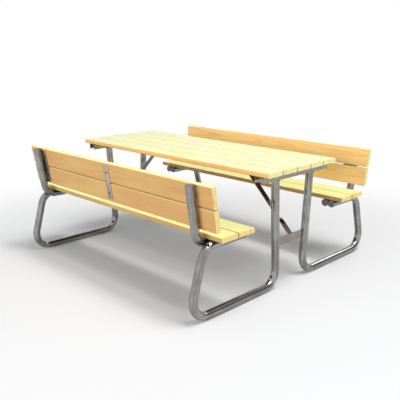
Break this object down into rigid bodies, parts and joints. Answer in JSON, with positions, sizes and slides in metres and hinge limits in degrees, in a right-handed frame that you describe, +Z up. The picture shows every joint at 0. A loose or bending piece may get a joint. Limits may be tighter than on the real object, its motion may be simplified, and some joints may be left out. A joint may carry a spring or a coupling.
{
  "type": "picnic table set",
  "caption": "Fixed picnic table with a bench on each long side, slatted softwood top, seats and leaning backs on a frame of bent round steel tube and flat bar.",
  "frame": {"origin": "on the ground, under the middle of the table top", "axes": "+X along the boards, +Y across the table towards one bench, +Z up"},
  "size_m": [1.745, 1.694, 0.7439],
  "materials": {
    "wood": "planed pale pine, clear oiled",
    "tube_steel": "bright polished tube",
    "flat_steel": "bright flat bar and sheet",
    "screw": "dull steel",
    "plug": "grey moulded plastic"
  },
  "bodies": {
    "root": {"back_bar_far": "flat_steel", "back_bar_near": "flat_steel", "back_bar_screws": "screw", "back_board_far_1": "wood", "back_board_far_2": "wood", "back_board_near_1": "wood", "back_board_near_2": "wood", "back_plate_far_left": "flat_steel", "back_plate_far_right": "flat_steel", "back_plate_near_left": "flat_steel", "back_plate_near_right": "flat_steel", "back_plate_screws": "screw", "back_tube_far_left": "tube_steel", "back_tube_far_right": "tube_steel", "back_tube_near_left": "tube_steel", "back_tube_near_right": "tube_steel", "back_tube_plugs": "plug", "brace_left": "flat_steel", "brace_right": "flat_steel", "brace_screws": "screw", "channel_screws": "screw", "cross_plate_left": "flat_steel", "cross_plate_right": "flat_steel", "foot_tube_far_left": "tube_steel", "foot_tube_far_right": "tube_steel", "foot_tube_near_left": "tube_steel", "foot_tube_near_right": "tube_steel", "seat_bar_far": "flat_steel", "seat_bar_near": "flat_steel", "seat_bar_screws": "screw", "seat_plank_far_1": "wood", "seat_plank_far_2": "wood", "seat_plank_near_1": "wood", "seat_plank_near_2": "wood", "seat_tube_plugs": "plug", "seat_tube_screws": "screw", "table_bar": "flat_steel", "table_bar_screws": "screw", "table_channel_left": "flat_steel", "table_channel_right": "flat_steel", "table_plank_1": "wood", "table_plank_2": "wood", "table_plank_3": "wood", "table_plank_4": "wood", "table_plank_5": "wood"}
  },
  "joints": []
}
